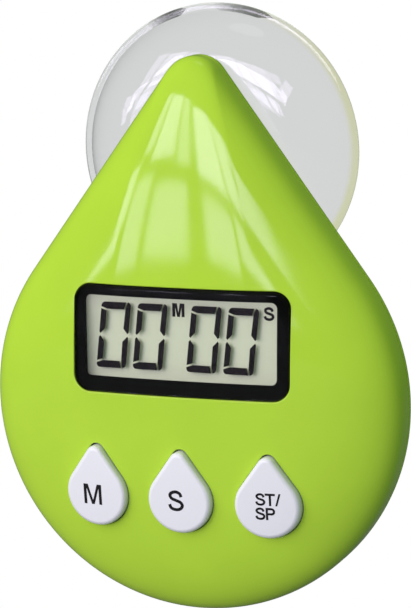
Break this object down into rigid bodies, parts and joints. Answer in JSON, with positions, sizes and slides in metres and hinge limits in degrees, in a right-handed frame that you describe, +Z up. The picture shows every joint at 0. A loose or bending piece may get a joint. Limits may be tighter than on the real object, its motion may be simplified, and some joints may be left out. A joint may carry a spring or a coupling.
{
  "type": "digital shower timer",
  "caption": "Water-drop countdown timer with a small liquid crystal display and push buttons, hung on a bathroom wall by a clear suction cup.",
  "frame": {"origin": "on the wall, in the middle of the suction cup's rim", "axes": "+X to the right, +Y into the wall, +Z up; the display faces -Y"},
  "size_m": [0.07, 0.0232, 0.0987],
  "materials": {
    "case_green": "glossy lime green ABS",
    "button_white": "satin white ABS",
    "lens_clear": "clear acrylic",
    "mask_black": "gloss black print",
    "panel_glass": "reflective liquid crystal panel, grey-green",
    "cup_clear": "clear soft PVC",
    "rubber_dark": "matt rubber",
    "silicone_grey": "matt silicone",
    "board_green": "solder mask over fibre board",
    "resin_black": "satin epoxy",
    "steel_bright": "bright nickel-plated steel",
    "brass_disc": "rolled brass",
    "ceramic_white": "silvered ceramic",
    "chip_tan": "chip capacitor ceramic"
  },
  "bodies": {
    "suction_cup": {"suction_cup": "cup_clear"},
    "case": {"board_screw_1": "steel_bright", "board_screw_2": "steel_bright", "board_screw_3": "steel_bright", "board_screw_4": "steel_bright", "buzzer_ceramic": "ceramic_white", "buzzer_disc": "brass_disc", "buzzer_spring_left": "steel_bright", "buzzer_spring_right": "steel_bright", "capacitor_1": "chip_tan", "capacitor_2": "chip_tan", "case_screw_1": "steel_bright", "case_screw_2": "steel_bright", "case_screw_3": "steel_bright", "case_screw_4": "steel_bright", "case_screw_5": "steel_bright", "case_seal": "rubber_dark", "chip_blob": "resin_black", "circuit_board": "board_green", "coin_cell": "steel_bright", "connector_lower": "rubber_dark", "connector_upper": "rubber_dark", "contact_negative": "steel_bright", "contact_positive": "steel_bright", "display_lens": "lens_clear", "display_mask": "mask_black", "display_panel": "panel_glass", "front_case": "case_green", "key_dome_minutes": "silicone_grey", "key_dome_seconds": "silicone_grey", "key_dome_start_stop": "silicone_grey", "quartz_crystal": "steel_bright", "rear_cover": "case_green", "resistor_1": "resin_black", "resistor_2": "resin_black"},
    "button_minutes": {"button_minutes": "button_white"},
    "button_seconds": {"button_seconds": "button_white"},
    "button_start_stop": {"button_start_stop": "button_white"},
    "battery_door": {"battery_door": "case_green", "door_seal": "rubber_dark"}
  },
  "joints": [
    {"name": "case_swivel", "type": "hinge", "parent": "suction_cup", "child": "case", "pos_m": [0, -0.0084, 0], "axis": [0, 1, 0], "continuous": true},
    {"name": "minutes_press", "type": "slide", "parent": "case", "child": "button_minutes", "axis": [0, 1, 0], "range_m": [0, 0.001], "stiffness_N_per_m": 1200, "deforming": ["key_dome_minutes"]},
    {"name": "seconds_press", "type": "slide", "parent": "case", "child": "button_seconds", "axis": [0, 1, 0], "range_m": [0, 0.001], "stiffness_N_per_m": 1200, "deforming": ["key_dome_seconds"]},
    {"name": "start_stop_press", "type": "slide", "parent": "case", "child": "button_start_stop", "axis": [0, 1, 0], "range_m": [0, 0.001], "stiffness_N_per_m": 1200, "deforming": ["key_dome_start_stop"]},
    {"name": "door_twist", "type": "hinge", "parent": "case", "child": "battery_door", "pos_m": [0, -0.0084, -0.03775], "axis": [0, 1, 0], "range_deg": [0, 45]}
  ]
}
